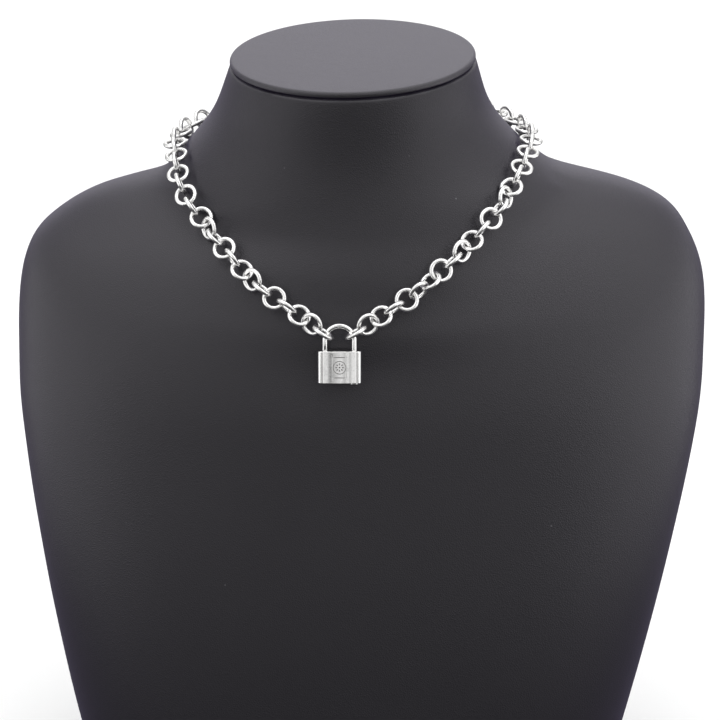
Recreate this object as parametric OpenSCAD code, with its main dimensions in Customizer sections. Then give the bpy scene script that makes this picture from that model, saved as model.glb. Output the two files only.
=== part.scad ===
// Padlock pendant on a chain of round links, laid round a plain neck bust.
// Millimetres, +Z up, the chest faces -Y. Left and right are as seen from the front.
// The chain has no other clasp: both of its end links hang on the padlock's shackle.

/* [Bust] */
// Height of the bust's neck, at its middle
neck_h = 290; // [288:0.5:293]
// How far the top of the neck tips forward, in degrees
neck_tip = 4.6; // [0:0.1:6]
// How much higher the right side of the neck's top stands, in degrees
neck_roll = 1.6; // [0:0.1:2]
// Sharpness of the torso's section, where 2 is an ellipse
torso_power = 2.3; // [2:0.1:3]
// Height where the shoulders start to round over
shoulder_start_h = 167; // [160:1:175]
// Height where the shoulders would close without the neck
shoulder_end_h = 249; // [248:0.5:251]
// Sharpness of the shoulders' rounding, seen from the front
shoulder_power = 4.4; // [3.5:0.1:5]
// Sharpness of the chest's rounding, seen from the side
chest_power = 2.4; // [2:0.1:3]
// Sharpness of the back's rounding, seen from the side
back_power = 3.5; // [3:0.1:4]
// Height where the neck starts inside the torso
neck_start_h = 170; // [165:1:175]
// Height over which the neck grows out of the torso
neck_grow_h = 40; // [35:1:45]
// Sharpness of the crease between neck and shoulder
crease_power = 12; // [8:1:16]

/* [Neck cap] */
// Gap between the neck's rim and the underside of the cap
cap_gap = 0.25; // [0.2:0.05:0.4]
// Height of the collar that shows as a dark line under the cap
cap_collar_h = 0.4; // [0.3:0.1:1]
// Thickness of the cap's plate
cap_plate_t = 2.2; // [1.6:0.1:2.4]

/* [Chain] */
// Radius of a link, to the middle of its wire
link_r = 3.68; // [3.66:0.01:3.7]
// Thickness of the links' wire
link_wire = 1.64; // [1.6:0.01:1.66]
// Distance between links that are nodes of their own
link_pitch = 5.6; // [5.55:0.01:5.65]
// Gap between the links and the bust
link_lift = 0.2; // [0.1:0.05:0.3]
// Height above the bust at which the chain's length is measured
chain_h = 4.3; // [4:0.1:4.5]

/* [Shackle] */
// Thickness of the shackle's wire
shackle_wire = 1.9; // [1.8:0.05:2]
// Distance between the middles of the two legs
leg_pitch = 10.6; // [10:0.1:11]
// Straight part of the legs above the lock body
leg_h = 3.7; // [3:0.1:4.5]
// Depth of the short leg inside the lock body
short_leg_depth = 2.6; // [2:0.1:3]
// Diameter of the release button at the end of the long leg
button_d = 3.3; // [3:0.1:3.6]
// Thickness of the release button
button_t = 1.2; // [1:0.1:1.5]
// How far the release button stands out of the lock body
button_proud = 0.5; // [0.4:0.1:0.7]

/* [Lock body] */
// Width of the lock body
lock_w = 15.9; // [15:0.1:16.5]
// Height of the lock body
lock_h = 11.8; // [11:0.1:12.5]
// Thickness of the lock body at the middle of its front
lock_t = 5.1; // [4.8:0.1:5.4]
// Radius of the lock body's upright corners
lock_corner_r = 1.75; // [1.5:0.05:2]
// Width of each end zone outside the crease lines
lock_end_w = 1.8; // [1.6:0.1:2]
// Step between the end zones and the raised middle, on each face
lock_step = 0.14; // [0.1:0.01:0.2]
// Radius of the gentle bulge of the front and back
lock_bulge_r = 60; // [50:5:80]
// How far the lock body slides off the short leg
lock_travel = 3; // [2.8:0.1:3.2]
// Running gap round the legs and the button
lock_gap = 0.1; // [0.08:0.01:0.12]
// How far the padlock leans back, in degrees
lock_lean = 12.5; // [12:0.5:14]
// Drop from the end links to the middle of the shackle's arch
arch_drop = 3; // [2.8:0.1:3.2]
// Distance of the shackle behind the middles of the end links
arch_inset = 0.95; // [0.9:0.05:1.2]

/* [Engraving] */
// Depth of the engraved lines
engraving_depth = 0.18; // [0.1:0.02:0.25]
// Radius of the engraved ring
rosette_r = 2.3; // [2:0.1:2.6]
// Number of petals in the rosette
rosette_petals = 8; // [6:1:10]
// Width of the engraved lines
engraving_w = 0.24; // [0.2:0.02:0.3]

/* [Placement] */
// Sideways shift that centres the whole on the origin
shift_x = -1.8; // [-3:0.05:-1]
// Front to back shift that centres the whole on the origin
shift_y = -7.7; // [-9:0.05:-6]

/* [Hidden] */
// Columns of the tables below, of which the first is what a curve is looked up by
AT = 0;
PLACE = 1;
HALF_W = 1;
SHIFT = 2;
INSET = 0;
LIFT = 1;
WAY_H = 1;

// Front to back place of the bust's middle line at each height
middle_rows = [[0, -12], [100, 0], [190, 22], [240, 33], [neck_h, 35]];

// Half width and sideways shift of the torso at each height
torso_rows = [
  [0, 100, -2.2], [40, 110, -2], [80, 118.5, -1], [120, 126.2, 0],
  [160, 132.5, 1.3], [190, 133.5, 1.8], [215, 134.2, 2.1]
];

// Line of the chest and of the back, seen from the side
chest_rows = [[0, -74], [50, -69], [100, -60], [150, -48], [195, -36.5], [215, -30.5], [245, -20]];
back_rows = [[0, 55], [60, 62], [120, 70], [175, 74], [215, 76], [245, 76]];

// Half width and sideways shift of the neck at each height
neck_rows = [
  [170, 85, 2.5], [200, 85, 2.5], [225, 82, 2], [236, 80, 4], [247, 77, 1.5],
  [258, 65.5, -1.5], [272, 53.5, -2], [neck_h, 46.8, -1.5]
];

// Line of the throat and of the nape, seen from the side
throat_rows = [[170, -40.5], [200, -34.5], [212, -29.5], [225, -26], [240, -19], [262, -13], [neck_h, -9.6]];
nape_rows = [[170, 58], [200, 62], [225, 71], [240, 77], [262, 80.5], [neck_h, 79.6]];

// Rounded rim of the neck: inset from the outline and height above the neck's edge
rim_rows = [[0.25, 0.45], [0.9, 0.8], [2, 0.9]];
rim_h = 0.9;

// Cap: inset from the neck's outline and height above the neck's rim
cap_rows = [
  [3, cap_gap], [3, cap_gap + cap_collar_h], [0.6, cap_gap + cap_collar_h],
  [0.36, cap_gap + cap_collar_h + 0.12 * cap_plate_t], [0.3, cap_gap + cap_collar_h + 0.38 * cap_plate_t],
  [0.36, cap_gap + cap_collar_h + 0.62 * cap_plate_t], [0.62, cap_gap + cap_collar_h + 0.84 * cap_plate_t],
  [1, cap_gap + cap_collar_h + 0.95 * cap_plate_t], [1.5, cap_gap + cap_collar_h + cap_plate_t]
];

// Heights of the bust's rows, closer together where the shoulders and the neck curve
levels = concat(
  [for (h = [0:20:160]) h],
  [for (h = [170:6:200]) h],
  [for (h = [205:3.1:252]) h],
  [for (h = [256:5.5:neck_h - 3]) h],
  [neck_h]
);
columns = 64;
section_squash = 0.5;

// Route of the chain: turn to the left from the chest's middle, and height on the bust
way_rows = [
  [13, 206.8], [30.5, 218], [47, 230.2], [55.5, 237], [62, 245.3], [69, 251.3], [79, 257.2],
  [92, 258.4], [110, 259], [180, 263], [251, 258.8], [280.5, 257.4], [294.5, 253.6],
  [303.5, 249.2], [311.5, 244], [320, 237.4], [331, 228.2], [343.5, 218.6], [362.8, 206.8]
];

// Turns at which the chain's end links stand
way_start = 13.13;
way_end = 362.28;
way_steps = 200;

// Links on each side of the padlock that are nodes of their own, and those joined behind the neck
side_links = 20;
back_links = 35;
back_groups = 3;

// Turn from link to link behind the neck, nearly square so that the chain twists slowly,
// and the gap between these links and the bust
back_turn = 87;
back_lift = 0.32;

// Roll of each separate link about the chain, from the padlock outwards.
// At 0 a link lies flat on the bust, and at 90 it stands on edge.
left_rolls = [80, 145, 210, 105, 190, 85, 150, 215, 105, 185, 80, 150, 218, 115, 203, 115, 208, 122, 217, 130];
right_rolls = [80, 145, 210, 105, 190, 125, 60, -5, 85, 150, 215, 105, 190, 85, 150, 215, 110, 202, 118, 210];

leg_x = leg_pitch / 2;
leg_r = shackle_wire / 2;
bore_r = leg_r + lock_gap;
button_r = button_d / 2;
lock_top = -leg_h;
lock_bottom = lock_top - lock_h;
button_top = lock_bottom - button_proud + button_t;
counterbore_top = button_top + lock_travel + lock_gap;
$fn = 64;

silver = [0.85, 0.85, 0.86];
leatherette = [0.2, 0.2, 0.21];

// Helpers

function unit(v) = v / norm(v);
function clamp01(x) = min(1, max(0, x));
function smooth_step(x) = let (t = clamp01(x)) t * t * (3 - 2 * t);

// Slope of a table's column at row k
function slope_at(rows, column, k) =
  let (a = max(0, k - 1), b = min(len(rows) - 1, k + 1))
  (rows[b][column] - rows[a][column]) / (rows[b][AT] - rows[a][AT]);

// Last row whose first column isn't above x
function row_below(rows, x, k = 0) =
  (k + 2 < len(rows) && rows[k + 1][AT] <= x) ? row_below(rows, x, k + 1) : k;

// Smooth curve through a table's column
function curve(rows, column, x) =
  let (
    x1 = min(max(x, rows[0][AT]), rows[len(rows) - 1][AT]),
    k = row_below(rows, x1),
    span = rows[k + 1][AT] - rows[k][AT],
    t = (x1 - rows[k][AT]) / span
  )
  (2 * t^3 - 3 * t^2 + 1) * rows[k][column]
  + (t^3 - 2 * t^2 + t) * span * slope_at(rows, column, k)
  + (3 * t^2 - 2 * t^3) * rows[k + 1][column]
  + (t^3 - t^2) * span * slope_at(rows, column, k + 1);

// Quarter of rounding that goes from 1 at the start to 0 at the end
function rounding(t, power) = (1 - min(t, 0.9999)^power)^(1 / power);

// Distance from the middle to a rounded section, at an angle given by its cosine and sine
function section_r(c, s, half_w, front, back, power) =
  ((abs(c) / half_w)^power + (abs(s) / (s < 0 ? front : back))^power)^(-1 / power);

// Sizes of the bust at one height: middle, shift, tilt, then torso and neck half width, front and back
function sizes_at(h) =
  let (
    middle = curve(middle_rows, PLACE, h),
    over = clamp01((h - shoulder_start_h) / (shoulder_end_h - shoulder_start_h)),
    shoulder = rounding(over, shoulder_power),
    grow = h < neck_start_h ? 0 : 0.6 + 0.4 * smooth_step((h - neck_start_h) / neck_grow_h),
    mix = smooth_step((h - 190) / 60)
  )
  [
    middle,
    (1 - mix) * curve(torso_rows, SHIFT, h) + mix * curve(neck_rows, SHIFT, h),
    smooth_step((h - 215) / (neck_h - 215)),
    h < shoulder_end_h ? shoulder * curve(torso_rows, HALF_W, h) : 0,
    rounding(over, chest_power) * (middle - curve(chest_rows, PLACE, h)),
    rounding(over, back_power) * (curve(back_rows, PLACE, h) - middle),
    grow * curve(neck_rows, HALF_W, h),
    grow * (middle - curve(throat_rows, PLACE, h)),
    grow * (curve(nape_rows, PLACE, h) - middle)
  ];

// Distance from the middle to the bust's skin
function skin_r(z, c, s) =
  let (
    torso = z[3] > 0 ? section_r(c, s, z[3], z[4], z[5], torso_power) : 0,
    neck = z[6] > 0 ? section_r(c, s, z[6], z[7], z[8], 2) : 0
  )
  (torso^crease_power + neck^crease_power)^(1 / crease_power);

// Point on the skin, moved in by an inset and up by a lift along the neck's tilt
function skin_point(h, z, angle, inset = 0, lift = 0) =
  let (
    c = cos(angle),
    s = sin(angle),
    r = skin_r(z, c, s) - inset,
    tip = z[2] * tan(neck_tip),
    roll = z[2] * tan(neck_roll)
  )
  [z[1] + r * c - roll * lift, z[0] + r * s - tip * lift, h + tip * r * s + roll * r * c + lift];

function skin_at(h, angle) = skin_point(h, sizes_at(h), angle);

// Direction straight out of the skin
function skin_normal(h, angle) =
  let (p = skin_at(h, angle))
  unit(cross(skin_at(h, angle + 0.3) - p, skin_at(h + 0.3, angle) - p));

// Angles of the columns, closer together at the shoulders' ends
function column_angle(k) = atan2(section_squash * sin(360 * k / columns), cos(360 * k / columns));

// Closed skin through rings of points, each with the same number of columns
module ring_skin(rings) {
  points = concat([for (ring = rings) for (p = ring) p]);
  last = (len(rings) - 1) * columns;
  sides = [
    for (j = [0:len(rings) - 2]) for (k = [0:columns - 1])
      let (a = j * columns + k, b = j * columns + (k + 1) % columns)
      each [[a, a + columns, b + columns], [a, b + columns, b]]
  ];
  polyhedron(
    points,
    concat(sides, [[for (k = [0:columns - 1]) k]], [[for (k = [columns - 1:-1:0]) last + k]])
  );
}

// Turns a Z axis to the given direction
module aim(direction) {
  rotate([0, acos(direction.z), atan2(direction.y, direction.x)]) children();
}

// Bust and cap

module bust() {
  top = sizes_at(neck_h);
  color(leatherette) translate([shift_x, shift_y, 0]) ring_skin(concat(
    [for (h = levels) let (z = sizes_at(h)) [for (k = [0:columns - 1]) skin_point(h, z, column_angle(k))]],
    [for (row = rim_rows)
      [for (k = [0:columns - 1]) skin_point(neck_h, top, column_angle(k), row[INSET], row[LIFT])]]
  ));
}

module neck_cap() {
  top = sizes_at(neck_h);
  color(leatherette) translate([shift_x, shift_y, 0]) ring_skin(
    [for (row = cap_rows)
      [for (k = [0:columns - 1])
        skin_point(neck_h, top, column_angle(k), row[INSET], rim_h + row[LIFT])]]
  );
}

// Chain

way = [
  for (k = [0:way_steps])
    let (
      turn = way_start + (way_end - way_start) * k / way_steps,
      h = curve(way_rows, WAY_H, turn),
      angle = -90 - turn
    )
    [skin_at(h, angle), skin_normal(h, angle)]
];

way_line = [for (step = way) step[0] + chain_h * step[1]];
function way_gap(k) = k > way_steps ? 0 : norm(way_line[k] - way_line[k - 1]);
way_lengths = [for (k = 0, s = 0; k <= way_steps; k = k + 1, s = s + way_gap(k)) s];
way_length = way_lengths[way_steps];
way_lookup = [for (k = [0:way_steps]) [way_lengths[k], k]];

// Skin point and direction at a distance along the chain
function way_at(s, column) =
  let (
    place = lookup(s, way_lookup),
    k = min(floor(place), way_steps - 1)
  )
  way[k][column] + (place - k) * (way[k + 1][column] - way[k][column]);

// Direction out of the bust, averaged over the length of a link
function way_normal(s) = unit(way_at(s - link_r, 1) + way_at(s, 1) + way_at(s + link_r, 1));

chain_links = 2 * side_links + back_links;
chain_rolls = concat(
  left_rolls,
  [for (i = [0:back_links - 1]) 45 + i * back_turn],
  [for (i = [side_links - 1:-1:0]) right_rolls[i]]
);

// Least height of a link's middle, and the height that its neighbours lift it to
function free_height(i) =
  let (behind = i >= side_links && i < chain_links - side_links)
  link_r * abs(sin(chain_rolls[i])) + link_wire / 2 + (behind ? back_lift : link_lift);
function link_height(i) =
  let (a = free_height(max(0, i - 1)), b = free_height(min(chain_links - 1, i + 1)))
  max(free_height(i), (a + b) / 2 - 0.3);

function link_middle(i, s) = way_at(s, 0) + link_height(i) * way_normal(s);

// Links that aren't square to each other sit a little closer together
function pitch_between(i, j) = link_pitch - 0.9 * (1 - abs(sin(chain_rolls[i] - chain_rolls[j])));

// Place of the link after link i on a side, corrected until the two are a pitch apart
function next_place(i, s, side, step = link_pitch, rounds = 5) =
  rounds == 0 ? s + side * step :
  let (apart = norm(link_middle(i + side, s + side * step) - link_middle(i, s)))
  next_place(i, s, side, step * pitch_between(i, i + side) / apart, rounds - 1);

function side_places(i, s, side, count) =
  count == 0 ? [] : concat([s], side_places(i + side, next_place(i, s, side), side, count - 1));

left_places = side_places(0, 0, 1, side_links);
right_places = side_places(chain_links - 1, way_length, -1, side_links);

// Links of a joined stretch overlap a little, and the stretches keep the gap of separate links
back_start = left_places[side_links - 1];
back_length = right_places[side_links - 1] - back_start;
joined_pitch = (back_length - (back_groups + 1) * link_pitch) / (back_links - back_groups);

// First link of a joined stretch, and the stretch that a link is in
function first_of(group) = round(group * back_links / back_groups);
function group_of(i) = len([for (group = [1:back_groups - 1]) if (first_of(group) <= i) group]);
function back_place(i) = back_start + (group_of(i) + 1) * link_pitch + (i - group_of(i)) * joined_pitch;

chain_places = concat(
  left_places,
  [for (i = [0:back_links - 1]) back_place(i)],
  [for (i = [side_links - 1:-1:0]) right_places[i]]
);
link_middles = [for (i = [0:chain_links - 1]) link_middle(i, chain_places[i])];

function link_axis(i) =
  let (
    a = link_middles[max(0, i - 1)],
    b = link_middles[min(chain_links - 1, i + 1)],
    along = unit(b - a),
    out = way_normal(chain_places[i]),
    up = unit(out - (out * along) * along),
    side = cross(along, up)
  )
  cos(chain_rolls[i]) * up + sin(chain_rolls[i]) * side;

module link(i) {
  color(silver) translate([shift_x, shift_y, 0]) translate(link_middles[i])
    aim(link_axis(i)) rotate_extrude() translate([link_r, 0]) circle(d = link_wire, $fn = 32);
}

module chain_back(group) {
  union() {
    for (i = [0:back_links - 1]) if (group_of(i) == group) link(side_links + i);
  }
}

// Padlock

lock_up = [0, sin(lock_lean), cos(lock_lean)];
lock_out = [0, -cos(lock_lean), sin(lock_lean)];
ends_middle = (link_middles[0] + link_middles[chain_links - 1]) / 2;
arch_middle = ends_middle - arch_drop * lock_up - arch_inset * lock_out;

// Puts a shape drawn round the middle of the shackle's arch in its place on the chest
module on_chest() {
  translate([shift_x, shift_y, 0]) translate(arch_middle) rotate([-lock_lean, 0, 0]) children();
}

// Outline of the lock body from above: round ended bar with a raised, gently bulging middle
module lock_outline() {
  middle_w = lock_w - 2 * lock_end_w;
  bulge_sag = lock_bulge_r - sqrt(lock_bulge_r^2 - middle_w^2 / 4);
  end_t = lock_t - 2 * bulge_sag - 2 * lock_step;
  square([lock_w - 2 * lock_corner_r, end_t], center = true);
  square([lock_w, end_t - 2 * lock_corner_r], center = true);
  for (x = [-1, 1]) for (y = [-1, 1])
    translate([x * (lock_w / 2 - lock_corner_r), y * (end_t / 2 - lock_corner_r)]) circle(lock_corner_r);
  intersection() {
    square([middle_w, 2 * lock_t], center = true);
    translate([0, lock_bulge_r - lock_t / 2]) circle(lock_bulge_r, $fn = 256);
    translate([0, lock_t / 2 - lock_bulge_r]) circle(lock_bulge_r, $fn = 256);
  }
}

// Petals in a ring between two fine lines, as a cutter for the front
module engraving() {
  translate([0, -lock_t / 2 + engraving_depth, (lock_top + lock_bottom) / 2]) rotate([90, 0, 0])
    linear_extrude(1) {
      difference() {
        circle(rosette_r + engraving_w / 2);
        circle(rosette_r - engraving_w / 2);
      }
      circle(0.35);
      for (k = [0:rosette_petals - 1])
        rotate(360 * k / rosette_petals) translate([0.52 * rosette_r, 0]) circle(0.17 * rosette_r);
      for (y = [-1, 1])
        translate([0, y * 1.62 * rosette_r]) square([2.4 * rosette_r, engraving_w], center = true);
    }
}

module lock_body() {
  color(silver) on_chest() difference() {
    translate([0, 0, lock_bottom]) linear_extrude(lock_h) lock_outline();
    translate([-leg_x, 0, lock_top - short_leg_depth - 0.3]) cylinder(r = bore_r, h = short_leg_depth + 1);
    translate([leg_x, 0, lock_bottom - 1]) cylinder(r = bore_r, h = lock_h + 2);
    translate([leg_x, 0, lock_bottom - 1])
      cylinder(r = button_r + lock_gap, h = counterbore_top - lock_bottom + 1);
    engraving();
  }
}

module shackle() {
  color(silver) on_chest() {
    rotate([90, 0, 0]) rotate_extrude(angle = 180) translate([leg_x, 0]) circle(leg_r, $fn = 32);
    translate([-leg_x, 0, lock_top - short_leg_depth]) cylinder(r = leg_r, h = leg_h + short_leg_depth);
    translate([leg_x, 0, button_top - 0.2]) cylinder(r = leg_r, h = 0.2 - button_top);
    translate([leg_x, 0, button_top - button_t]) cylinder(r = button_r, h = button_t);
  }
}

bust();
neck_cap();
lock_body();
shackle();
for (i = [1:side_links]) {
  link(i - 1);
  link(chain_links - i);
}
for (i = [1:back_groups]) {
  chain_back(i - 1);
}
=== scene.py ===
import math

import bmesh
import bpy
import numpy as np
from mathutils import Matrix, Vector


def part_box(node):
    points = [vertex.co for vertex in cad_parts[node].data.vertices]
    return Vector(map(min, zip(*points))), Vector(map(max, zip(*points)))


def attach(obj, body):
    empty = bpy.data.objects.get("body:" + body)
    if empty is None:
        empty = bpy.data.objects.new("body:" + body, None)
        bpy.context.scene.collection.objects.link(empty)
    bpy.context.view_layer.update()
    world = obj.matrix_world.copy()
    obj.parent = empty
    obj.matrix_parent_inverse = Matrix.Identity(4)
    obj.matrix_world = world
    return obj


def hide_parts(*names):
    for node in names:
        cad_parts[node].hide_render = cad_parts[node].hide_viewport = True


# Padlock pendant on a chain of round links, laid round a plain leatherette neck bust.
# Sizes in the dictionaries are millimetres and degrees unless a note says otherwise.

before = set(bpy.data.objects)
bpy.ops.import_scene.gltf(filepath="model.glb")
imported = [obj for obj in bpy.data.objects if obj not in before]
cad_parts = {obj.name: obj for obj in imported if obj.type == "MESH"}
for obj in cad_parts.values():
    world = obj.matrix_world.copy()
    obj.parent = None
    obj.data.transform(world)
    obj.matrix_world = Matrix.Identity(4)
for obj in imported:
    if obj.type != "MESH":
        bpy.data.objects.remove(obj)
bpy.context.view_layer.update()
mm = 0.001


# Camera

photoCamera = {
    "pitch": 22.0,          # looks down at the chest
    "distance": 800.0,
    "aim": (-0.6, -7.7, 183.0),
    "lens": 104.7,
    "sensor": 36.0,
    "near": 10.0,           # nothing nearer than this is drawn
}


def makeCamera():
    pitch = math.radians(photoCamera["pitch"])
    aim = Vector(photoCamera["aim"]) * mm
    back = Vector((0, -math.cos(pitch), math.sin(pitch)))
    data = bpy.data.cameras.new("photoCamera")
    data.lens = photoCamera["lens"]
    data.sensor_width = photoCamera["sensor"]
    data.clip_start = photoCamera["near"] * mm
    camera = bpy.data.objects.new("photoCamera", data)
    camera.location = aim + back * photoCamera["distance"] * mm
    camera.rotation_euler = (math.pi / 2 - pitch, 0, 0)
    bpy.context.scene.collection.objects.link(camera)
    bpy.context.scene.camera = camera


makeCamera()
print("camera placed")


# Helpers

def finishMesh(bm, name, material, sharpAngle=None):
    mesh = bpy.data.meshes.new(name)
    bm.to_mesh(mesh)
    bm.free()
    for polygon in mesh.polygons:
        polygon.use_smooth = True
    if sharpAngle is not None:
        mesh.set_sharp_from_angle(angle=math.radians(sharpAngle))
    piece = bpy.data.objects.new(name, mesh)
    bpy.context.scene.collection.objects.link(piece)
    mesh.materials.append(material)
    return piece


def standFor(piece, body, slot, *cadNodes):
    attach(piece, body)
    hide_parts(*cadNodes)


def nodeCopy(name):
    bm = bmesh.new()
    bm.from_mesh(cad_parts[name].data)
    bmesh.ops.remove_doubles(bm, verts=bm.verts[:], dist=1e-6)
    return bm


def spunRing(radius, wire, steps, wireSteps):
    # lies flat about the origin
    bm = bmesh.new()
    circle = bmesh.ops.create_circle(bm, segments=wireSteps, radius=wire / 2)["verts"]
    place = Matrix.Translation((radius, 0, 0)) @ Matrix.Rotation(math.pi / 2, 4, "X")
    bmesh.ops.transform(bm, matrix=place, verts=circle)
    bmesh.ops.spin(bm, geom=bm.verts[:] + bm.edges[:], cent=(0, 0, 0), axis=(0, 0, 1),
                   dvec=(0, 0, 0), angle=2 * math.pi, steps=steps, use_merge=True,
                   use_duplicate=False)
    return bm


def smoothSkin(piece, levels):
    skin = piece.modifiers.new("skin", "SUBSURF")
    skin.levels = levels
    skin.render_levels = levels


# Shader groups

def newGroup(name, inputs, outputs):
    group = bpy.data.node_groups.new(name, "ShaderNodeTree")
    for label, kind, value in inputs:
        socket = group.interface.new_socket(name=label, in_out="INPUT", socket_type=kind)
        socket.default_value = value
    for label, kind in outputs:
        group.interface.new_socket(name=label, in_out="OUTPUT", socket_type=kind)
    return group, group.nodes.new("NodeGroupInput"), group.nodes.new("NodeGroupOutput")


def feed(links, socket, value):
    # a number or a colour is set, and an output is linked
    if isinstance(value, (int, float)):
        socket.default_value = value
    elif isinstance(value, tuple):
        socket.default_value = (*value, 1)
    else:
        links.new(value, socket)


def mathNode(nodes, links, operation, *values):
    node = nodes.new("ShaderNodeMath")
    node.operation = operation
    for socket, value in zip(node.inputs, values):
        feed(links, socket, value)
    return node.outputs[0]


def rangeNode(nodes, links, value, low, high, toLow=0.0, toHigh=1.0, smooth=False):
    node = nodes.new("ShaderNodeMapRange")
    node.interpolation_type = "SMOOTHSTEP" if smooth else "LINEAR"
    links.new(value, node.inputs["Value"])
    numbers = {"From Min": low, "From Max": high, "To Min": toLow, "To Max": toHigh}
    for label, number in numbers.items():
        node.inputs[label].default_value = number
    return node.outputs["Result"]


def noiseNode(nodes, links, position, scale, detail, roughness=0.5):
    noise = nodes.new("ShaderNodeTexNoise")
    for label, value in (("Scale", scale), ("Detail", detail), ("Roughness", roughness)):
        noise.inputs[label].default_value = value
    links.new(position, noise.inputs["Vector"])
    return noise


# scale, detail and roughness of the noises, which are drawn per metre
patternLook = {
    "warpNoise": (600, 2),
    "warpBy": 0.0006,               # metres
    "pebbleEdge": 0.32,
    "fineNoise": (5200, 3),
    "fineHeight": 0.35,
    "toneNoise": (26, 5, 0.62),
    "toneRange": (0.3, 0.7),
    "fleckFrom": 0.55,              # cells with a higher random number have a fleck
    # turn and stretch of the three sets of polishing marks
    "markSets": (
        ((0.4, 0.2, 0.5), (1, 14, 3)),
        ((1.1, 0.7, -0.9), (14, 1, 4)),
        ((-0.6, 1.3, 0.3), (5, 2, 14)),
    ),
    "markRange": (0.66, 0.74),
    "hazeNoise": (420, 4),
    "hazeRange": (0.35, 0.7),
    # patches of the painted highlight along the neck's rim
    "highlightNoise": (90, 3),
    "highlightRange": (0.3, 0.6),
}


def makeLeatherGrain():
    group, into, out = newGroup(
        "leatherGrain",
        [("Position", "NodeSocketVector", (0, 0, 0)), ("Pebble Scale", "NodeSocketFloat", 1300.0)],
        [("Height", "NodeSocketFloat"), ("Tone", "NodeSocketFloat")],
    )
    nodes, links = group.nodes, group.links
    position, p = into.outputs["Position"], patternLook
    warp = noiseNode(nodes, links, position, *p["warpNoise"])
    shift = nodes.new("ShaderNodeVectorMath")
    shift.operation = "MULTIPLY_ADD"
    links.new(warp.outputs["Color"], shift.inputs[0])
    shift.inputs[1].default_value = [p["warpBy"]] * 3
    links.new(position, shift.inputs[2])
    pebble = nodes.new("ShaderNodeTexVoronoi")
    pebble.feature = "DISTANCE_TO_EDGE"
    links.new(shift.outputs[0], pebble.inputs["Vector"])
    links.new(into.outputs["Pebble Scale"], pebble.inputs["Scale"])
    crest = rangeNode(nodes, links, pebble.outputs["Distance"], 0.0, p["pebbleEdge"], smooth=True)
    fine = noiseNode(nodes, links, position, *p["fineNoise"])
    fineHeight = mathNode(nodes, links, "MULTIPLY", fine.outputs["Fac"], p["fineHeight"])
    links.new(mathNode(nodes, links, "ADD", crest, fineHeight), out.inputs["Height"])
    cloud = noiseNode(nodes, links, position, *p["toneNoise"])
    links.new(rangeNode(nodes, links, cloud.outputs["Fac"], *p["toneRange"]), out.inputs["Tone"])
    return group


def makeDustFlecks():
    group, into, out = newGroup(
        "dustFlecks",
        [("Position", "NodeSocketVector", (0, 0, 0)), ("Spacing Scale", "NodeSocketFloat", 85.0),
         ("Fleck Size", "NodeSocketFloat", 0.03)],
        [("Mask", "NodeSocketFloat")],
    )
    nodes, links = group.nodes, group.links
    cells = nodes.new("ShaderNodeTexVoronoi")
    links.new(into.outputs["Position"], cells.inputs["Vector"])
    links.new(into.outputs["Spacing Scale"], cells.inputs["Scale"])
    split = nodes.new("ShaderNodeSeparateColor")
    links.new(cells.outputs["Color"], split.inputs[0])
    size = mathNode(nodes, links, "MULTIPLY", split.outputs[0], into.outputs["Fleck Size"])
    near = mathNode(nodes, links, "LESS_THAN", cells.outputs["Distance"], size)
    chosen = mathNode(nodes, links, "GREATER_THAN", split.outputs[1], patternLook["fleckFrom"])
    links.new(mathNode(nodes, links, "MULTIPLY", near, chosen), out.inputs["Mask"])
    return group


def makePolishMarks():
    group, into, out = newGroup(
        "polishMarks",
        [("Position", "NodeSocketVector", (0, 0, 0)), ("Mark Scale", "NodeSocketFloat", 900.0)],
        [("Height", "NodeSocketFloat"), ("Haze", "NodeSocketFloat")],
    )
    nodes, links = group.nodes, group.links
    total = None
    for turn, stretch in patternLook["markSets"]:
        place = nodes.new("ShaderNodeMapping")
        place.inputs["Rotation"].default_value = turn
        place.inputs["Scale"].default_value = stretch
        links.new(into.outputs["Position"], place.inputs["Vector"])
        marks = noiseNode(nodes, links, place.outputs[0], 1, 1)
        links.new(into.outputs["Mark Scale"], marks.inputs["Scale"])
        line = rangeNode(nodes, links, marks.outputs["Fac"], *patternLook["markRange"], smooth=True)
        total = line if total is None else mathNode(nodes, links, "ADD", total, line)
    links.new(total, out.inputs["Height"])
    cloud = noiseNode(nodes, links, into.outputs["Position"], *patternLook["hazeNoise"])
    haze = rangeNode(nodes, links, cloud.outputs["Fac"], *patternLook["hazeRange"])
    links.new(haze, out.inputs["Haze"])
    return group


leatherGrain = makeLeatherGrain()
dustFlecks = makeDustFlecks()
polishMarks = makePolishMarks()


# Materials

coverLook = {
    "dark": (0.0078, 0.0077, 0.0081),
    "light": (0.0096, 0.0095, 0.01),
    "dust": (0.1, 0.1, 0.105),
    "rimHighlight": (0.034, 0.033, 0.036),      # painted highlight along the neck's rolled rim, where light catches it
    "rimHighlightDepth": (0.3, 1.4),            # below the rim's top, from full painted highlight to none
    "rimTilt": (1.6, 4.6),              # rise of the rim to the right and to the back
    "roughness": (0.38, 0.46),
    "gloss": 0.58,
    "capGloss": 0.8,
    "glossTint": (0.96, 0.93, 1.0),
    "sheen": 0.12,
    "sheenTint": (0.62, 0.48, 1.0),
    "pebbleScale": 1300.0,      # per metre
    "grainHeight": 0.035,
    "crestHeight": 1.2,         # of the grain pattern, where it is smoothest
    "capLightLift": 1.9,             # painted light: how much paler the cap's cover colour is made, for the brighter light that falls on the cap's top
    "fleckScale": 85.0,         # dust cells per metre
    "fleckSize": 0.03,          # of a cell, for the largest fleck
}

silverLook = {
    "bright": (0.93, 0.925, 0.915),
    "dull": (0.86, 0.855, 0.85),
    "creaseShade": (0.4, 0.395, 0.39),      # painted shade in the padlock's creases, engraving and bores
    "roughness": (0.2, 0.3),
    "lockRoughness": (0.05, 0.11),
    "markHeight": 0.0025,
    "markScale": 900.0,         # per metre
}


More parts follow.
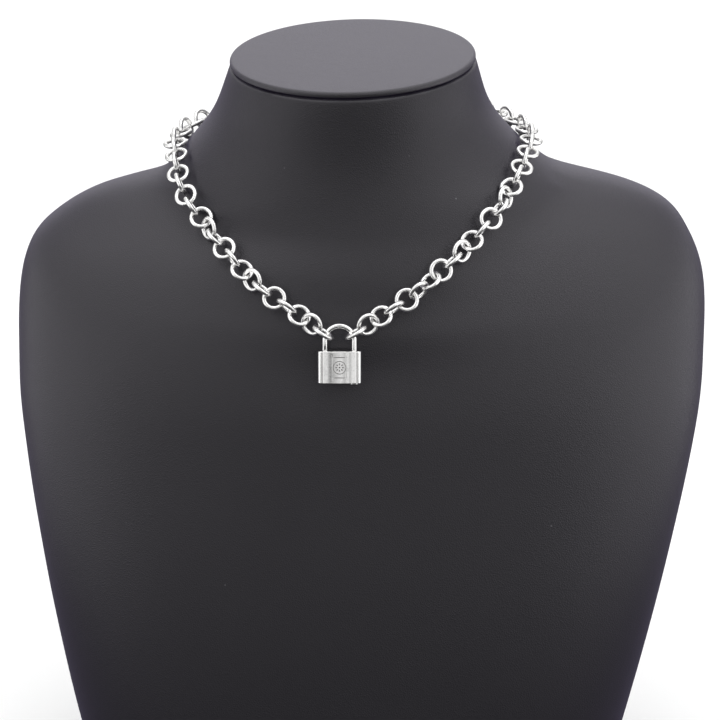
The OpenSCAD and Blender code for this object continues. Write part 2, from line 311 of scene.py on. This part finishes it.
def startMaterial(name):
    material = bpy.data.materials.new(name)
    material.use_nodes = True
    nodes, links = material.node_tree.nodes, material.node_tree.links
    nodes.clear()
    out = nodes.new("ShaderNodeOutputMaterial")
    shader = nodes.new("ShaderNodeBsdfPrincipled")
    links.new(shader.outputs[0], out.inputs["Surface"])
    place = nodes.new("ShaderNodeTexCoord")
    return material, nodes, links, shader, place.outputs["Object"]


def mixColours(nodes, links, factor, first, second):
    mix = nodes.new("ShaderNodeMix")
    mix.data_type = "RGBA"
    links.new(factor, mix.inputs["Factor"])
    feed(links, mix.inputs[6], first)       # A and B of the colours
    feed(links, mix.inputs[7], second)
    return mix.outputs[2]


def placeGroup(nodes, links, group, position, **values):
    node = nodes.new("ShaderNodeGroup")
    node.node_tree = group
    links.new(position, node.inputs["Position"])
    for label, value in values.items():
        node.inputs[label.replace("_", " ")].default_value = value
    return node


def addBump(nodes, links, shader, height, distance):
    bump = nodes.new("ShaderNodeBump")
    bump.inputs["Strength"].default_value = 1
    bump.inputs["Distance"].default_value = distance
    links.new(height, bump.inputs["Height"])
    links.new(bump.outputs[0], shader.inputs["Normal"])


# painted highlight: a paler band just below the neck's rim top, broken into patches, standing for
# the light the rolled rim catches
def paintRimHighlight(nodes, links, position, look):
    across, back = (math.tan(math.radians(angle)) for angle in look["rimTilt"])
    up = Vector((-across, -back, 1))
    rimTop = max(up.dot(v.co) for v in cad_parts["bust"].data.vertices)
    level = nodes.new("ShaderNodeVectorMath")
    level.operation = "DOT_PRODUCT"
    level.inputs[1].default_value = up
    links.new(position, level.inputs[0])
    full, start = (rimTop - depth * mm for depth in look["rimHighlightDepth"])
    near = rangeNode(nodes, links, level.outputs["Value"], start, full, smooth=True)
    patches = noiseNode(nodes, links, position, *patternLook["highlightNoise"])
    highlightPatches = rangeNode(nodes, links, patches.outputs["Fac"], *patternLook["highlightRange"])
    return mathNode(nodes, links, "MULTIPLY", near, highlightPatches)


def makeCover(name, look, lightLift, gloss, paintedRim=False):
    material, nodes, links, shader, position = startMaterial(name)
    grain = placeGroup(nodes, links, leatherGrain, position, Pebble_Scale=look["pebbleScale"])
    dust = placeGroup(nodes, links, dustFlecks, position,
                      Spacing_Scale=look["fleckScale"], Fleck_Size=look["fleckSize"])
    dark = tuple(lightLift * c for c in look["dark"])
    light = tuple(lightLift * c for c in look["light"])
    tone = mixColours(nodes, links, grain.outputs["Tone"], dark, light)
    # paints a highlight along the neck's rim
    if paintedRim:
        tone = mixColours(nodes, links, paintRimHighlight(nodes, links, position, look), tone, look["rimHighlight"])
    tone = mixColours(nodes, links, dust.outputs["Mask"], tone, look["dust"])
    links.new(tone, shader.inputs["Base Color"])
    rough = rangeNode(nodes, links, grain.outputs["Height"], 0, look["crestHeight"],
                      look["roughness"][1], look["roughness"][0])
    links.new(rough, shader.inputs["Roughness"])
    addBump(nodes, links, shader, grain.outputs["Height"], look["grainHeight"] * mm)
    shader.inputs["Specular IOR Level"].default_value = gloss
    shader.inputs["Specular Tint"].default_value = (*look["glossTint"], 1)
    shader.inputs["Sheen Weight"].default_value = look["sheen"]
    shader.inputs["Sheen Tint"].default_value = (*look["sheenTint"], 1)
    return material


def makeSilver(name, look, roughness, hollows=None, place=None):
    # hollows is a group that masks the parts given painted shade, drawn in the frame of place
    material, nodes, links, shader, position = startMaterial(name)
    marks = placeGroup(nodes, links, polishMarks, position, Mark_Scale=look["markScale"])
    colour = mixColours(nodes, links, marks.outputs["Haze"], look["bright"], look["dull"])
    if hollows:
        own = nodes.new("ShaderNodeMapping")
        own.vector_type = "TEXTURE"
        own.inputs["Location"].default_value = place.to_translation()
        own.inputs["Rotation"].default_value = place.to_euler()
        links.new(position, own.inputs["Vector"])
        mask = placeGroup(nodes, links, hollows, own.outputs[0])
        # painted shade in the creases, engraving and bores
        colour = mixColours(nodes, links, mask.outputs["Mask"], colour, look["creaseShade"])
    links.new(colour, shader.inputs["Base Color"])
    shader.inputs["Metallic"].default_value = 1
    rough = rangeNode(nodes, links, marks.outputs["Haze"], 0, 1, *roughness)
    links.new(rough, shader.inputs["Roughness"])
    addBump(nodes, links, shader, marks.outputs["Height"], look["markHeight"] * mm)
    return material


# the bust's cover gets a painted highlight along the neck's rim
bustLeatherette = makeCover("bustLeatherette", coverLook, 1.0, coverLook["gloss"], paintedRim=True)
# the cap's cover is a lit copy of the bust's cover, its colour painted paler as painted light, with
# more gloss
litCapLeatherette = makeCover("litCapLeatherette", coverLook, coverLook["capLightLift"], coverLook["capGloss"])
chainSilver = makeSilver("chainSilver", silverLook, silverLook["roughness"])
shackleSilver = makeSilver("shackleSilver", silverLook, silverLook["lockRoughness"])
print("materials made")


# Bust

bustShape = {
    "footBevel": 2.0,       # rounding of the foot's edge
    "footSteps": 3,
    "footZone": 1.0,        # faces below this height that look down are the foot
    "joinAngles": (30, 60),     # limits of the bend and the skew of two triangles made one face
    "skinLevels": 2,
}


def quadCopy(name):
    bm = nodeCopy(name)
    flatter, squarer = (math.radians(angle) for angle in bustShape["joinAngles"])
    bmesh.ops.join_triangles(bm, faces=bm.faces[:], angle_face_threshold=flatter,
                             angle_shape_threshold=squarer)
    return bm


def makeBust():
    bm = quadCopy("bust")
    foot = [f for f in bm.faces
            if f.normal.z < -0.99 and f.calc_center_median().z < bustShape["footZone"] * mm]
    foot = bmesh.ops.dissolve_faces(bm, faces=foot)["region"]
    bmesh.ops.bevel(bm, geom=foot[0].edges[:], offset=bustShape["footBevel"] * mm,
                    segments=bustShape["footSteps"], profile=0.5, affect="EDGES", material=-1)
    bust = finishMesh(bm, "bust_cover", bustLeatherette)
    smoothSkin(bust, bustShape["skinLevels"])
    standFor(bust, "bust", "bust_cover", "bust")


def makeCap():
    cap = finishMesh(quadCopy("neck_cap"), "cap_cover", litCapLeatherette)
    smoothSkin(cap, bustShape["skinLevels"])
    standFor(cap, "bust", "cap_cover", "neck_cap")


makeBust()
makeCap()
print("bust covered")


# Chain

linkShape = {
    "ringRadius": 3.68,
    "wire": 1.64,
    "ringSteps": 48,
    "wireSteps": 16,
    "sideLinks": 20,
    "backStretches": 3,
    "backSharpAngle": 40,
}


def makeRing():
    s = linkShape
    bm = spunRing(s["ringRadius"] * mm, s["wire"] * mm, s["ringSteps"], s["wireSteps"])
    bmesh.ops.remove_doubles(bm, verts=bm.verts[:], dist=1e-7)
    bmesh.ops.recalc_face_normals(bm, faces=bm.faces[:])
    return bm


def linkPlace(name):
    low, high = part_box(name)
    points = np.array([v.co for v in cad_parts[name].data.vertices])
    spread = points - np.array((low + high) / 2)
    axis = Vector(np.linalg.eigh(spread.T @ spread)[1][:, 0])   # a ring is thinnest along its axis
    return Matrix.Translation((low + high) / 2) @ axis.to_track_quat("Z", "Y").to_matrix().to_4x4()


def makeLinks():
    for side in ("left", "right"):
        for number in range(1, linkShape["sideLinks"] + 1):
            cadNode = f"link_{side}_{number}"
            bm = makeRing()
            bmesh.ops.transform(bm, matrix=linkPlace(cadNode), verts=bm.verts[:])
            ring = finishMesh(bm, f"ring_{side}_{number}", chainSilver)
            standFor(ring, "bust", "chain_silver", cadNode)
    for number in range(1, linkShape["backStretches"] + 1):
        cadNode = f"chain_back_{number}"
        back = finishMesh(nodeCopy(cadNode), f"rings_back_{number}", chainSilver,
                          sharpAngle=linkShape["backSharpAngle"])
        standFor(back, "bust", "chain_silver", cadNode)


makeLinks()
print("chain linked")


# Padlock

shackleShape = {
    "wire": 1.9,
    "wireSteps": 32,
    "archSteps": 48,
    "buttonSteps": 48,
    "legPitch": 10.6,
    "leg": 3.7,             # straight part above the body
    "shortLegDepth": 2.6,
    "button": 3.3,
    "buttonThick": 1.2,
    "buttonProud": 0.5,
    "rim": 0.18,            # rounding of the leg's end and of the button
    "rimSteps": 3,
    "sharpAngle": 35,
    "lean": 12.5,
}

lockShape = {
    "width": 15.9,
    "height": 11.8,
    "thick": 5.1,           # at the middle of the bulge
    "cornerRadius": 1.75,
    "cornerSteps": 10,
    "endZone": 1.8,         # outside the crease lines
    "step": 0.14,           # from the raised middle down to the end zones
    "bulgeRadius": 60.0,
    "bulgeColumns": 48,
    "creaseWidth": 0.42,
    "creaseDepth": 0.16,
    "edgeRadius": 0.09,     # along the raised middle
    "edgeSteps": 4,
    "topRim": 0.4,          # rounding of the top's and the bottom's edge
    "bottomRim": 0.18,
    "rimSteps": 4,
    "rimGuard": 0.04,       # keeps the shading of the faces flat up to the rims
    "shadeFrom": (0.04, 0.1),     # depth below the bulge at which the painted shade starts and is full
    "shadeTo": 0.9,       # share of the crease's width that the painted shade covers
    "boreGap": 0.1,
    "boreEnd": 0.3,         # room under the short leg
    "boreFlare": 0.14,
    "boreSteps": 48,
    "cutterEnd": 0.5,       # how far the bore cutters stand out of the body
    "travel": 3.0,
    "sharpAngle": 28,
}

engraving = {
    "depth": 0.18,
    "line": 0.26,
    "lineSteps": 16,
    "ringRadius": 2.3,
    "ringSteps": 72,
    "dentSteps": (24, 12),
    "petals": 8,
    "petalPlace": 1.2,
    "petal": (0.43, 0.27),      # half its length and width
    "dot": 0.35,
    "strokePlace": 3.73,
    "stroke": (2.75, 0.15),
}


def archPlace():
    low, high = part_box("shackle")
    lean = math.radians(shackleShape["lean"])
    radius = shackleShape["legPitch"] / 2 * mm
    wire = shackleShape["wire"] / 2 * mm
    middle = Vector((low.x + radius + wire, high.y - radius * math.sin(lean) - wire,
                     high.z - radius * math.cos(lean) - wire))
    return Matrix.Translation(middle) @ Matrix.Rotation(-lean, 4, "X")


def makeShackle():
    s = shackleShape
    radius = s["legPitch"] / 2 * mm
    bm = bmesh.new()
    wire = bmesh.ops.create_circle(bm, segments=s["wireSteps"], radius=s["wire"] / 2 * mm)["verts"]
    bmesh.ops.translate(bm, vec=(radius, 0, 0), verts=wire)
    wireEdges = bm.edges[:]
    arch = bmesh.ops.spin(bm, geom=wire + wireEdges, cent=(0, 0, 0), axis=(0, -1, 0),
                          dvec=(0, 0, 0), angle=math.pi, steps=s["archSteps"],
                          use_merge=False, use_duplicate=False)["geom_last"]
    lastEdges = [e for e in arch if isinstance(e, bmesh.types.BMEdge)]
    archEnds = ((wireEdges, s["leg"] + lockShape["height"]),
                (lastEdges, s["leg"] + s["shortLegDepth"]))
    for ends, length in archEnds:
        leg = bmesh.ops.extrude_edge_only(bm, edges=ends)["geom"]
        legVerts = [v for v in leg if isinstance(v, bmesh.types.BMVert)]
        bmesh.ops.translate(bm, vec=(0, 0, -length * mm), verts=legVerts)
        bmesh.ops.contextual_create(bm, geom=[e for e in leg if isinstance(e, bmesh.types.BMEdge)
                                              and all(v in legVerts for v in e.verts)])
    bmesh.ops.recalc_face_normals(bm, faces=bm.faces[:])
    bottom = -(s["leg"] + lockShape["height"] + s["buttonProud"])
    buttonRadius = s["button"] / 2 * mm
    button = bmesh.ops.create_cone(bm, cap_ends=True, segments=s["buttonSteps"],
                                   radius1=buttonRadius, radius2=buttonRadius,
                                   depth=s["buttonThick"] * mm)["verts"]
    bmesh.ops.translate(bm, vec=(radius, 0, (bottom + s["buttonThick"] / 2) * mm), verts=button)
    rims = [e for e in bm.edges if len(e.link_faces) == 2 and e.calc_face_angle() > 1]
    bmesh.ops.bevel(bm, geom=rims, offset=s["rim"] * mm, segments=s["rimSteps"], profile=0.5,
                    affect="EDGES", material=-1)
    bmesh.ops.transform(bm, matrix=archPlace(), verts=bm.verts[:])
    shackle = finishMesh(bm, "shackle_wire", shackleSilver, sharpAngle=s["sharpAngle"])
    standFor(shackle, "bust", "shackle_silver", "shackle")


def makeLockHollows():
    # masks what lies lower than the bulging front, for the painted shade there: the creases, the
    # engraving and the bores
    group, into, out = newGroup("lockHollows", [("Position", "NodeSocketVector", (0, 0, 0))],
                                [("Mask", "NodeSocketFloat")])
    nodes, links = group.nodes, group.links
    s = lockShape
    split = nodes.new("ShaderNodeSeparateXYZ")
    links.new(into.outputs["Position"], split.inputs[0])
    side = mathNode(nodes, links, "ABSOLUTE", split.outputs["X"])
    square = mathNode(nodes, links, "POWER", side, 2)
    bulge = mathNode(nodes, links, "DIVIDE", square, 2 * s["bulgeRadius"] * mm)
    front = mathNode(nodes, links, "ABSOLUTE", split.outputs["Y"])
    height = mathNode(nodes, links, "ADD", front, bulge)
    start, full = (s["thick"] / 2 - depth for depth in s["shadeFrom"])
    mask = rangeNode(nodes, links, height, full * mm, start * mm, 1, 0, smooth=True)
    creaseEnd = (s["width"] / 2 - s["endZone"] + s["shadeTo"] * s["creaseWidth"]) * mm
    top = -(shackleShape["leg"] + s["topRim"]) * mm
    bottom = -(shackleShape["leg"] + s["height"] - s["bottomRim"]) * mm
    for limit in (mathNode(nodes, links, "LESS_THAN", side, creaseEnd),
                  mathNode(nodes, links, "LESS_THAN", split.outputs["Z"], top),
                  mathNode(nodes, links, "GREATER_THAN", split.outputs["Z"], bottom)):
        mask = mathNode(nodes, links, "MULTIPLY", mask, limit)
    links.new(mask, out.inputs["Mask"])
    return group


def lockBlank():
    s = lockShape
    middle = s["width"] / 2 - s["endZone"]
    sag = s["bulgeRadius"] - math.sqrt(s["bulgeRadius"] ** 2 - middle ** 2)
    endHalf = s["thick"] / 2 - sag - s["step"]
    bm = bmesh.new()
    bmesh.ops.create_grid(bm, x_segments=1, y_segments=1, size=0.5)
    bmesh.ops.scale(bm, vec=(s["width"], 2 * endHalf, 1), verts=bm.verts[:])
    bmesh.ops.bevel(bm, geom=bm.verts[:], offset=s["cornerRadius"], segments=s["cornerSteps"],
                    profile=0.5, affect="VERTICES", material=-1)
    for side in (-1, 1):
        for place in (middle, middle + s["creaseWidth"] / 2, middle + s["creaseWidth"]):
            bmesh.ops.bisect_plane(bm, geom=bm.verts[:] + bm.edges[:] + bm.faces[:],
                                   plane_co=(side * place, 0, 0), plane_no=(1, 0, 0))
    groove = [v for v in bm.verts if abs(abs(v.co.x) - middle - s["creaseWidth"] / 2) < 1e-4]
    bmesh.ops.scale(bm, vec=(1, 1 - s["creaseDepth"] / endHalf, 1), verts=groove)
    # the raised middle grows out of its two long edges
    long = [e for e in bm.edges if e.calc_length() > 1.9 * middle]
    raised = [v for v in bmesh.ops.extrude_edge_only(bm, edges=long)["geom"]
              if isinstance(v, bmesh.types.BMVert)]
    bmesh.ops.scale(bm, vec=(1, (s["thick"] / 2 - sag) / endHalf, 1), verts=raised)
    bmesh.ops.bevel(bm, geom=raised, offset=s["edgeRadius"], segments=s["edgeSteps"],
                    profile=0.5, affect="VERTICES", material=-1)
    faces = [e for e in bm.edges
             if e.calc_length() > 1.9 * middle - 4 * s["edgeRadius"] and e.is_boundary]
    bmesh.ops.subdivide_edges(bm, edges=faces, cuts=s["bulgeColumns"] - 1)
    for v in bm.verts:
        if abs(v.co.y) > s["thick"] / 2 - sag - 1e-4:
            drop = s["bulgeRadius"] - math.sqrt(s["bulgeRadius"] ** 2 - v.co.x ** 2)
            v.co.y = math.copysign(s["thick"] / 2 - drop, v.co.y)
    return bm


def riseThrough(bm, start, steps, x=0):
    # start and steps hold the outline's scale in x and y and its height; x is the middle
    wide, deep, height = start
    faces = bm.faces[:]
    for number, (nextWide, nextDeep, nextHeight) in enumerate(steps):
        grown = bmesh.ops.extrude_face_region(bm, geom=faces)["geom"]
        if number:
            bmesh.ops.delete(bm, geom=faces, context="FACES")
        points = [v for v in grown if isinstance(v, bmesh.types.BMVert)]
        faces = [f for f in grown if isinstance(f, bmesh.types.BMFace)]
        bmesh.ops.scale(bm, vec=(nextWide / wide, nextDeep / deep, 1), verts=points,
                        space=Matrix.Translation((-x, 0, 0)))
        bmesh.ops.translate(bm, vec=(0, 0, nextHeight - height), verts=points)
        wide, deep, height = nextWide, nextDeep, nextHeight


def lockSolid():
    s = lockShape
    turns = [math.pi / 2 * k / s["rimSteps"] for k in range(s["rimSteps"] + 1)]
    # inset and height of the levels at the bottom and the top
    low, high = ([(rim * (1 - math.sin(a)), rim * (1 - math.cos(a))) for a in turns]
                 + [(0, rim + s["rimGuard"])]
                 for rim in (s["bottomRim"], s["topRim"]))
    levels = low + [(inset, s["height"] - height) for inset, height in reversed(high)]
    steps = [(1 - 2 * inset / s["width"], 1 - 2 * inset / s["thick"], height)
             for inset, height in levels]
    bm = lockBlank()
    bmesh.ops.scale(bm, vec=(steps[0][0], steps[0][1], 1), verts=bm.verts[:])
    riseThrough(bm, steps[0], steps[1:])
    bmesh.ops.recalc_face_normals(bm, faces=bm.faces[:])
    bmesh.ops.translate(bm, vec=(0, 0, -shackleShape["leg"] - s["height"]), verts=bm.verts[:])
    return bm


def boreCutter(x, profile):
    # profile holds radius and height, from the bottom up
    bm = bmesh.new()
    radius, height = profile[0]
    bmesh.ops.create_circle(bm, cap_ends=True, segments=lockShape["boreSteps"], radius=radius)
    bmesh.ops.translate(bm, vec=(x, 0, height), verts=bm.verts[:])
    riseThrough(bm, (radius, radius, height), [(r, r, h) for r, h in profile[1:]], x)
    return bm


def boreCutters():
    s, a = lockShape, shackleShape
    top = -a["leg"]
    bottom = top - s["height"]
    bore = a["wire"] / 2 + s["boreGap"]
    counterbore = a["button"] / 2 + s["boreGap"]
    counterboreTop = bottom - a["buttonProud"] + a["buttonThick"] + s["travel"] + s["boreGap"]
    flare, end = s["boreFlare"], s["cutterEnd"]
    mouth = [(bore, top - flare), (bore + flare, top), (bore + flare + end, top + end)]
    longBore = [(counterbore + flare + end, bottom - end), (counterbore + flare, bottom),
                (counterbore, bottom + flare), (counterbore, counterboreTop),
                (bore, counterboreTop)]
    shortBore = [(bore, top - a["shortLegDepth"] - s["boreEnd"])]
    return [boreCutter(a["legPitch"] / 2, longBore + mouth),
            boreCutter(-a["legPitch"] / 2, shortBore + mouth)]


def engravingCutters():
    # drawn flat about the middle of the front, then stood up; z is the depth until then
    e = engraving
    bm = spunRing(e["ringRadius"], e["line"], e["ringSteps"], e["lineSteps"])
    bmesh.ops.scale(bm, vec=(1, 1, 2 * e["depth"] / e["line"]), verts=bm.verts[:])
    columns, rows = e["dentSteps"]
    dents = [((0, 0), 0, (e["dot"], e["dot"]))]
    dents += [((0, side * e["strokePlace"]), 0, e["stroke"]) for side in (-1, 1)]
    dents += [((e["petalPlace"], 0), 2 * math.pi * k / e["petals"], e["petal"])
              for k in range(e["petals"])]
    for (x, y), turn, (long, wide) in dents:
        place = Matrix.Rotation(turn, 4, "Z") @ Matrix.Translation((x, y, 0))
        bmesh.ops.create_uvsphere(bm, u_segments=columns, v_segments=rows, radius=1,
                                  matrix=place @ Matrix.Diagonal((long, wide, e["depth"], 1)))
    front = Matrix.Translation((0, -lockShape["thick"] / 2,
                                -shackleShape["leg"] - lockShape["height"] / 2))
    bmesh.ops.transform(bm, matrix=front @ Matrix.Rotation(math.pi / 2, 4, "X"), verts=bm.verts[:])
    return bm


def cutAway(piece, cutters):
    # each cutter mesh is subtracted, and the result becomes the piece's own mesh
    tools = []
    for number, bm in enumerate(cutters):
        bmesh.ops.recalc_face_normals(bm, faces=bm.faces[:])
        tool = finishMesh(bm, f"cutter_{number}", piece.data.materials[0])
        tools.append(tool)
        cut = piece.modifiers.new("cut", "BOOLEAN")
        cut.operation = "DIFFERENCE"
        cut.solver = "EXACT"
        cut.object = tool
    cutPiece = piece.evaluated_get(bpy.context.evaluated_depsgraph_get())
    shaped = bpy.data.meshes.new_from_object(cutPiece)
    piece.modifiers.clear()
    piece.data = shaped
    for tool in tools:
        bpy.data.objects.remove(tool)


def makeLockBody():
    silver = makeSilver("lockSilver", silverLook, silverLook["lockRoughness"],
                        makeLockHollows(), archPlace())
    body = finishMesh(lockSolid(), "lock_case", silver)
    cutAway(body, boreCutters() + [engravingCutters()])
    body.data.transform(archPlace() @ Matrix.Scale(mm, 4))
    for polygon in body.data.polygons:
        polygon.use_smooth = True
    body.data.set_sharp_from_angle(angle=math.radians(lockShape["sharpAngle"]))
    standFor(body, "lock_body", "lock_silver", "lock_body")


makeShackle()
makeLockBody()
print("padlock made")


# Stage and lights

stageLook = {
    "floorSize": 20000.0,
    "floorColour": (0.9, 0.9, 0.9),
    "floorRoughness": 0.9,
    "bounce": (0.06, 0.15),         # how pale the floor is to the bust, in front and behind
    "bounceFrom": (-100.0, 700.0),
}

studioRoom = {
    # turn from the front, then brightness at the horizon, at 30 and at 55 degrees up
    "walls": ((0, 1.2, 0.35, 0.1), (45, 0.8, 1.4, 1.7), (75, 0.1, 1.15, 2.1),
              (105, 0.35, 0.85, 1.3), (135, 0.7, 0.55, 0.8), (180, 0.95, 1.6, 1.5)),
    # sines of the height between which one row of tones blends into the next
    "rises": ((0.13, 0.46), (0.46, 0.79), (0.82, 0.96)),
    "topTone": 4,                   # the brightness that white stands for in the colour ramp
    "ceiling": 2.0,
    "backdrop": 1.0,                # what the camera sees above the floor
    "rightGain": 0.1,               # how much the right side outshines the middle
    "window": 0.83,                 # the dimmer opening that the camera stands in
    "windowTurn": (0.24, 0.34),     # radians
    "windowRise": (0.16, 0.26),     # sine of the height
    # dark upright bars in it: place, half width, depth
    "bars": ((-0.124, 0.045, 0.74), (-0.076, 0.07, 0.38),
             (0.052, 0.035, 0.42), (0.12, 0.022, 0.55)),
}

softPanels = (
    # name, place, width, height (mm), watts
    ("leftPanel", (-500, -125, 165), 650, 330, 0.77),
    ("rightPanel", (500, -125, 165), 650, 330, 0.9),
)


def makeStage():
    bm = bmesh.new()
    bmesh.ops.create_grid(bm, x_segments=1, y_segments=1, size=stageLook["floorSize"] / 2 * mm)
    material, nodes, links, shader, position = startMaterial("paleFloor")
    split = nodes.new("ShaderNodeSeparateXYZ")
    links.new(position, split.inputs[0])
    near, far = stageLook["bounceFrom"]
    bounce = rangeNode(nodes, links, split.outputs["Y"], near * mm, far * mm,
                       *stageLook["bounce"], smooth=True)
    rays = nodes.new("ShaderNodeLightPath")
    colour = mixColours(nodes, links, rays.outputs["Is Camera Ray"], bounce,
                        stageLook["floorColour"])
    links.new(colour, shader.inputs["Base Color"])
    shader.inputs["Roughness"].default_value = stageLook["floorRoughness"]
    shader.inputs["Specular IOR Level"].default_value = 0
    floor = finishMesh(bm, "floor", material)


def mixNumbers(nodes, links, factor, first, second):
    mix = nodes.new("ShaderNodeMix")
    links.new(factor, mix.inputs["Factor"])
    feed(links, mix.inputs["A"], first)
    feed(links, mix.inputs["B"], second)
    return mix.outputs[0]


def makeRoom():
    room = studioRoom
    world = bpy.data.worlds.new("studio")
    world.use_nodes = True
    nodes, links = world.node_tree.nodes, world.node_tree.links
    place = nodes.new("ShaderNodeTexCoord")
    split = nodes.new("ShaderNodeSeparateXYZ")
    links.new(place.outputs["Generated"], split.inputs[0])
    ahead = mathNode(nodes, links, "MULTIPLY", split.outputs["Y"], -1)
    aside = mathNode(nodes, links, "ABSOLUTE", split.outputs["X"])
    turn = mathNode(nodes, links, "ARCTAN2", aside, ahead)
    walls = nodes.new("ShaderNodeValToRGB")
    links.new(mathNode(nodes, links, "DIVIDE", turn, math.pi), walls.inputs[0])
    stops = walls.color_ramp.elements
    stops.remove(stops[1])
    for angle, *tones in room["walls"]:
        stop = stops.new(angle / 180) if angle else stops[0]
        stop.color = (*[tone / room["topTone"] for tone in tones], 1)
    tones = nodes.new("ShaderNodeSeparateColor")
    links.new(walls.outputs[0], tones.inputs[0])
    low, *higher = (mathNode(nodes, links, "MULTIPLY", tone, room["topTone"])
                    for tone in tones.outputs)
    rise = split.outputs["Z"]
    window = room["window"]
    for barPlace, halfWidth, depth in room["bars"]:
        offset = mathNode(nodes, links, "SUBTRACT", split.outputs["X"], barPlace)
        away = mathNode(nodes, links, "ABSOLUTE", offset)
        bar = rangeNode(nodes, links, away, 0, halfWidth, 1 - depth, 1, smooth=True)
        window = mathNode(nodes, links, "MULTIPLY", window, bar)
    beside = rangeNode(nodes, links, turn, *room["windowTurn"], smooth=True)
    offLevel = mathNode(nodes, links, "ABSOLUTE", rise)
    above = rangeNode(nodes, links, offLevel, *room["windowRise"], smooth=True)
    outside = mathNode(nodes, links, "MAXIMUM", beside, above)
    tone = mixNumbers(nodes, links, outside, window, low)
    for rises, row in zip(room["rises"], (*higher, room["ceiling"])):
        tone = mixNumbers(nodes, links, rangeNode(nodes, links, rise, *rises), tone, row)
    gain = rangeNode(nodes, links, split.outputs["X"], -1, 1,
                     1 - room["rightGain"], 1 + room["rightGain"])
    tone = mathNode(nodes, links, "MULTIPLY", tone, gain)
    rays = nodes.new("ShaderNodeLightPath")
    seen = mixNumbers(nodes, links, rays.outputs["Is Camera Ray"], tone, room["backdrop"])
    links.new(seen, nodes["Background"].inputs["Strength"])
    nodes["Background"].inputs["Color"].default_value = (1, 1, 1, 1)
    bpy.context.scene.world = world
    bpy.context.scene.view_settings.view_transform = "Standard"


def makePanels():
    for name, place, width, height, power in softPanels:
        data = bpy.data.lights.new(name, "AREA")
        data.shape = "RECTANGLE"
        data.size = height * mm
        data.size_y = width * mm
        data.energy = power
        panel = bpy.data.objects.new(name, data)
        panel.location = Vector(place) * mm
        panel.rotation_euler = (0, math.copysign(math.pi / 2, place[0]), 0)
        bpy.context.scene.collection.objects.link(panel)


makeStage()
makeRoom()
makePanels()
print("stage lit")
